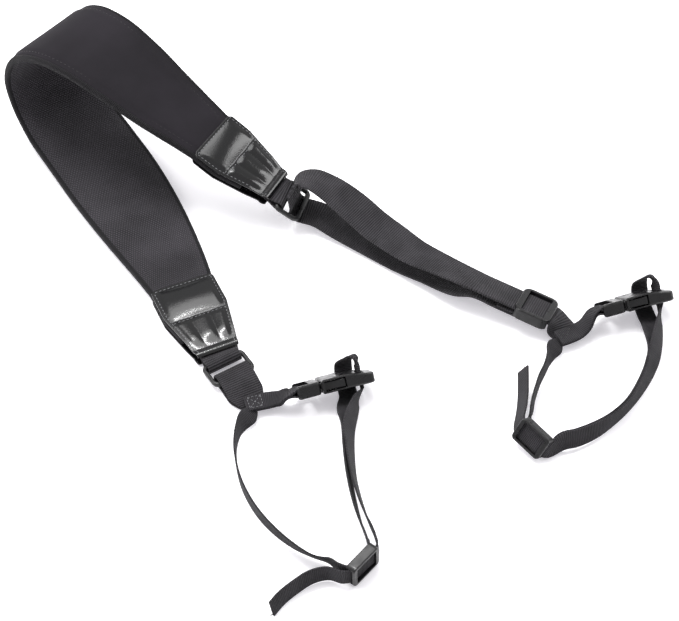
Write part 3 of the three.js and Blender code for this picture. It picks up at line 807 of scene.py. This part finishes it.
def padStitches():
    rows = []
    for face in (-1, 1):
        for way in (-1, 1):
            row = []
            count = 300
            for i in range(count + 1):  # from one tab to the other
                distance = 0.07 + (pad.length - 0.134) * i / count
                across = way * (padHalf(distance) - padLook["seamInset"])
                place = pad.place(distance, across, face * padHeight(distance, across))
                row.append((place, pad.frame(distance)[3] * face))
            rows.append(row)
    return stitches("pad_stitches", rows, "pad", "pad")


tabLook = {
    "seamAt": 0.036,
    "plump": 0.0019,
    "flute": 0.0014,
    "hem": 0.0013,
    "edge": 0.0022,
    "corner": 0.0035,
}


# Height of the leather over the pad's middle surface: a plump panel, a cross seam,
# and three flutes down to the hem.
def tabHeight(fromEnd, across, length, half):
    near = 1.5 * webThick + 2 * gap
    base = near + (stack + gap - near) * smooth(fromEnd, 0.004, padSizes["from"] - 0.003)
    inside = smooth(half - abs(across), 0.0018, 0.0065)
    seam = tabLook["seamAt"]
    if fromEnd > seam:
        span = clamp((fromEnd - seam) / (length - seam))
        swell = math.sin(math.pi * clamp(span / 0.9)) ** 0.7 * (1 - 0.5 * (across / half) ** 2)
        return base + tabLook["plump"] * swell * inside
    span = clamp(fromEnd / seam)
    ridge = abs(math.sin(1.5 * math.pi * (across / half + 1))) ** 0.6
    fade = smooth(span, 0.14, 0.5) * (1 - smooth(span, 0.86, 1.0))
    hem = tabLook["hem"] * math.sin(math.pi * clamp(span / 0.15)) ** 0.7
    return base + tabLook["flute"] * ridge * fade * inside + hem


def tabPlace(arm, face, fromEnd, across, raised=0.0):
    length = padSizes["tabLengths"][arm]
    distance = pad.length - fromEnd if arm == "a" else fromEnd
    height = tabHeight(fromEnd, across, length, padHalf(distance)) + padSizes["leather"] / 2 + raised
    return pad.place(distance, across, face * height)


def tab(name, arm, face):
    length = padSizes["tabLengths"][arm]

    def mapping(u, v):
        fromEnd = length * v
        distance = pad.length - fromEnd if arm == "a" else fromEnd
        drawnIn = 1 - math.sqrt(clamp(1 - smooth(fromEnd, length - 0.004, length) ** 2))
        half = padHalf(distance) - tabLook["corner"] * drawnIn * abs(2 * u - 1)
        return tabPlace(arm, face, fromEnd, (2 * u - 1) * half)

    mesh = gridOn(60, 44, mapping, length, 2 * padSizes["tabHalf"])
    made = finishPiece(mesh, name + "_leather", "patent_leather", "pad")
    thicken(made, padSizes["leather"], 0.0003)
    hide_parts(name)
    return made


def tabStitches(arm, face):
    length = padSizes["tabLengths"][arm]
    edge = tabLook["edge"]
    half = lambda d: padHalf(pad.length - d if arm == "a" else d) - edge
    steps = [edge + (length - 2 * edge) * i / 40 for i in range(41)]
    lines = [[(d, -half(d)) for d in steps], [(d, half(d)) for d in steps]]
    for at in (length - edge, tabLook["seamAt"], tabLook["seamAt"] - 0.002):
        lines.append([(at, half(at) * (i / 12 - 1)) for i in range(25)])
    rows = []
    for line in lines:
        row = []
        for d, across in line:
            distance = pad.length - d if arm == "a" else d
            place = tabPlace(arm, face, d, across, padSizes["leather"] / 2)
            row.append((place, pad.frame(distance)[3] * face))
        rows.append(row)
    side = "outer" if face > 0 else "inner"
    name = "tab_" + arm + "_" + side + "_stitches"
    # The tab stitches are painted pale, a painted highlight for thread catching the light.
    return stitches(name, rows, "pad", "tab", look="glintThread")


ring = {
    "bar": 0.004,
    "spacing": 0.017,
    "toHem": 0.006,
    "keeperSlack": 0.0012,
    "foldSlack": 0.0034,
}
wrapRadius = ring["bar"] / 2 + 2 * gap + webThick / 2


def ringFrame(atEnd, bearing, dip):
    at, along, side, normal = pad.frame(pad.length if atEnd else 0)
    heading = bearingVector(bearing, dip)
    level = bearingVector(bearing + 90)
    away = ring["toHem"] if atEnd else -ring["toHem"]
    return at + along * away, heading, level, heading.cross(level)


# Stops round a bar that lies at x in a frame, from angle a to angle b.
def wrap(f, x, radius, a, b, count):
    turns = [math.radians(a + (b - a) * i / count) for i in range(count + 1)]
    return [(inFrame(f, x + radius * math.cos(t), 0, radius * math.sin(t)), f[2]) for t in turns]


def keeper(name, atEnd, f):
    layer = (webThick + gap) / 2
    up = 1 if atEnd else -1

    def inside(depth, height):
        at, along, side, normal = pad.frame(pad.length - depth if atEnd else depth)
        return at + normal * up * height, (side if side.dot(f[2]) > 0 else -side)

    stops = [
        inside(0.015, layer),
        inside(0.005, layer),
        inside(0.0005, layer + 0.0005),
        *wrap(f, 0, wrapRadius, 112, 90, 1),
        *wrap(f, ring["keeperSlack"], wrapRadius, 75, -75, 6),
        *wrap(f, 0, wrapRadius, -90, -112, 1),
        inside(0.0005, -layer - 0.0005),
        inside(0.005, -layer),
        inside(0.015, -layer),
    ]
    band = Band(stops)
    whole = (0, band.length)
    strip(name + "_web", band, whole, wideWeb, name, "pad", step=0.001)


ringA = ringFrame(True, -18, -29)
ringB = ringFrame(False, -57, 0)
slider = {
    "at": (0.1356, -0.0086, 0.012),
    "heading": (-25, -9),
    "across": (68, -17),
    "bar": 0.002,
    "post": 0.0032,
}
sliderFrame = (Vector(slider["at"]), *squared(slider["heading"], slider["across"]))
anchorLow = -(webThick * 2 + gap * 3 + slider["bar"])


def sliderStop(x, z):
    return inFrame(sliderFrame, x, 0, z), sliderFrame[2]


def armA():
    spacing = ring["spacing"]
    fold = spacing - ring["foldSlack"]
    running = Band([
        (inFrame(ringA, spacing - 0.0003, 0, -wrapRadius), ringA[2]),
        *wrap(ringA, fold, wrapRadius, 258, 180, 4),
        (inFrame(ringA, fold - wrapRadius - 0.0004, 0, 0.0024), ringA[2]),
        (inFrame(ringA, fold - wrapRadius - 0.0016, 0, 0.005), ringA[2]),
        *[stop(row) for row in webARising],
        *[sliderStop(x, 0) for x in (-0.044, -0.022, 0, 0.01)],
        sliderStop(0.0156, -0.0008),
        *[stop(row) for row in webAEnd],
    ])
    whole = (0, running.length)
    strip("web_a_upper", running, whole, wideWeb, "web_a_running", "arm_a", taper=(1, 0.5, 0.013))
    back = Band([
        sliderStop(-0.026, anchorLow),
        sliderStop(-0.042, anchorLow),
        *[stop(row) for row in webAReturn],
        *wrap(ringA, spacing, wrapRadius, 290, 270, 1),
    ])
    lower = strip("web_a_lower", back, (0, back.length), wideWeb, "web_a_return")
    fixed = back.place(back.length - 0.012) + tableShift
    back.place(0.002) + tableShift
    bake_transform(lower)
    top = -(webThick + gap)
    half = slider["post"] / 2
    throughSlider = [
        (-0.0245, anchorLow + webThick + gap),
        (-0.015, anchorLow + webThick + gap + 0.0001),
        (-0.008, top - 0.0011),
        (-half, top),
        (half, top),
        (half + 0.0015, (top + anchorLow) / 2),
        (half, anchorLow),
        (-half, anchorLow),
        (-0.012, anchorLow),
        (-0.0262, anchorLow),
    ]
    anchor = Band([sliderStop(*at) for at in throughSlider])
    whole = (0, anchor.length)
    strip("web_a_fold", anchor, whole, wideWeb, "web_a_anchor", "slider_a")
    return running, anchor


def armB():
    low = [stop(row) for row in webB]
    high = []
    for row, rise in zip(webB, (0, 0.0019, 0.0046)):
        place, side = stop(row)
        high.append((place + Vector((0, 0, webThick + gap + 0.0001 + rise)), side))
    fold = ring["spacing"] - ring["foldSlack"]
    band = Band([*low, *wrap(ringB, fold, wrapRadius, -84, -276, 6), *reversed(high)])
    whole = (0, band.length)
    narrow = (0.6, 0.6, 0.011)
    strip("web_b_folded", band, whole, wideWeb, "web_b", "arm_b", 0.001, narrow)
    return band


buckles = {
    "a": {"at": (0.1787, -0.0134, 0.0142), "bearing": 20, "roll": -42},
    "b": {"at": (-0.0293, -0.0858, 0.0142), "bearing": 19, "roll": -42},
}
plug = {"bar": 0.0017, "barAt": 0.0024, "slotMiddle": 0.0445}


def buckleFrame(placing):
    along = bearingVector(placing["bearing"])
    side = bearingVector(placing["bearing"] + 90, placing["roll"])
    return Vector(placing["at"]), along, side, along.cross(side)


def tabStrap(arm, rows):
    placing = buckles[arm]
    f = buckleFrame(placing)
    radius = plug["bar"] + gap + strapThick / 2
    layer = (strapThick + gap) / 2 + 0.0001
    tilt = rows[-1][4] + 0.6 * (placing["roll"] - rows[-1][4])
    middle = [stop(row) for row in rows]
    middle.append((inFrame(f, -0.0046), bearingVector(placing["bearing"] + 90, tilt)))
    overBar = wrap(f, plug["barAt"], radius, 105, -105, 6)
    band = Band([*shifted(middle, layer), *overBar, *reversed(shifted(middle, -layer))])
    name = "tab_strap_" + arm
    whole = (0, band.length)
    strip(name + "_cloth", band, whole, narrowWeb, name, "arm_" + arm, step=0.0008)
    return band


minis = {
    "a": {"at": (0.1246, -0.121, 0.0109), "along": (-48, -7), "lean": (32, 57)},
    "b": {"at": (0.014, -0.217, 0.0104), "along": (50, 0), "lean": (140, 88)},
}
strandIn = [(-0.0116, -0.0086), (-0.0094, -0.003)]
strandOut = [(-0.0104, 0.0002), (-0.0146, -0.0036)]
leadStart = -0.007
leadLength = 0.034


def loopStrap(arm, loop):
    placing = minis[arm]
    mini = (Vector(placing["at"]), *squared(placing["along"], placing["lean"]))
    socket = buckleFrame(buckles[arm])
    atMini = lambda at: (inFrame(mini, at[0], 0, at[1]), mini[2])
    straight = [atMini(at) for at in ((-0.004, 0), (0.002, 0), (0.008, 0))]
    turning = [atMini(at) for at in loop["turning"]]
    shared = [*straight, *turning, *[stop(row) for row in loop["running"]]]
    bow = lambda t: 1 + loop["spread"] * math.sin(math.pi * t) ** 2
    turned = []
    for x, y, z, a, b, c in strapRoundSocket:
        side = (socket[1] * a + socket[2] * b + socket[3] * c).normalized()
        turned.append((inFrame(socket, plug["slotMiddle"] + x, y, z), side))
    band = Band([
        *[stop(row) for row in loop["leaving"]],
        *[atMini(at) for at in strandIn],
        *shifted(shared, -strapSpread / 2, bow),
        stop(loop["under"]),
        *turned,
        stop(loop["over"]),
        *reversed(shifted(shared, strapSpread / 2, bow)),
        *[atMini(at) for at in strandOut],
        *[stop(row) for row in loop["tail"]],
    ])
    body = "loop_" + arm
    span = (leadStart, leadLength)
    lead = strip("loop_start_" + arm, band, span, narrowWeb, "loop_lead_" + arm, taper=(0.35, 1, 0.008))
    sewn, free = [band.place(distance) + tableShift for distance in (0.004, leadLength)]
    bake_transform(lead)
    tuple(sewn)
    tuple(free)
    rest = (leadLength, band.length)
    strip(body + "_cloth", band, rest, narrowWeb, "loop_strap_" + arm, body, step=0.0014)
    return band


# A box of stitches, with a cross in it where cross is set, sewn through the webbing.
def boxStitch(name, band, start, end, width, body, through, look="thread", cross=True):
    corners = [(start, -width), (start, width), (end, width), (end, -width), (start, -width)]
    lines = list(zip(corners, corners[1:]))
    if cross:
        lines += [((start, -width), (end, width)), ((start, width), (end, -width))]
    rows = []
    for (d0, x0), (d1, x1) in lines:
        row = []
        for i in range(13):
            d, x = d0 + (d1 - d0) * i / 12, x0 + (x1 - x0) * i / 12
            row.append((band.place(d, x, through), band.frame(d)[3]))
        rows.append(row)
    return stitches(name, rows, body, "box", look)


# Loose threads that stand off a cut or rubbed end.
def frayedThreads(name, places, body):
    mesh = bmesh.new()
    for place, heading, length in places:
        root = bmesh.ops.create_circle(mesh, cap_ends=True, segments=5, radius=0.00016)["verts"]
        turn = Vector((0, 0, 1)).rotation_difference(heading).to_matrix()
        for vert in root:
            vert.co = turn @ vert.co + place
        face = next(f for f in root[0].link_faces if len(f.verts) == 5)
        way = heading.normalized()
        for i in range(7):
            bend = [random.uniform(low, high) for low, high in ((-1, 1), (-1, 1), (-0.5, 0.3))]
            way = (way + Vector(bend) * 0.35).normalized()
            grown = bmesh.ops.extrude_discrete_faces(mesh, faces=[face])["faces"][0]
            bmesh.ops.translate(mesh, verts=grown.verts, vec=way * length / 7)
            face = grown
    return finishPiece(mesh, name, "thread", body)


addCamera()
addStudio()
print("camera and studio set")
padSide("pad_cloth_face", 1, "neoprene", ["pad_core", "pad_face"])
padSide("pad_cloth_lining", -1, "grip_lining", ["pad_lining"])
binding("binding_left", -1)
binding("binding_right", 1)
padStitches()
for arm in ("a", "b"):
    for side, face in (("outer", 1), ("inner", -1)):
        tab("tab_" + arm + "_" + side, arm, face)
        tabStitches(arm, face)
print("pad and tabs made")
keeper("keeper_a", True, ringA)
keeper("keeper_b", False, ringB)
running, anchor = armA()
folded = armB()
bands = {"a": tabStrap("a", tabStrapA), "b": tabStrap("b", tabStrapB)}
loops = {"a": loopStrap("a", loopA), "b": loopStrap("b", loopB)}
half = strapWidth / 2 - 0.0018
# Strap b's box stitch uses the thread painted pale as a highlight for thread catching the light.
for arm, look in (("a", "thread"), ("b", "glintThread")):
    boxStitch("sewn_strap_" + arm, bands[arm], 0.002, 0.011, half, "arm_" + arm, strapThick / 2, look)
sewn = (folded.length - 0.015, folded.length - 0.006)
boxStitch("sewn_web_b", folded, *sewn, 0.0085, "arm_b", webThick / 2, cross=False)
boxStitch("sewn_web_a", anchor, 0.002, 0.012, 0.0105, "slider_a", webThick / 2)
frays = []
for loop in loops.values():
    at, along, side, normal = loop.frame(loop.length)
    for i in range(4):
        root = at + side * random.uniform(-0.005, 0.005)
        frays.append((root, along, random.uniform(0.002, 0.004)))
frayedThreads("frayed_end_a", frays[:4], "loop_a")
frayedThreads("frayed_end_b", frays[4:], "loop_b")
print("webbing made")
for name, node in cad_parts.items():
    if not node.hide_render:
        node.data.materials.clear()
        node.data.materials.append(looks["acetal"])

print("finished")
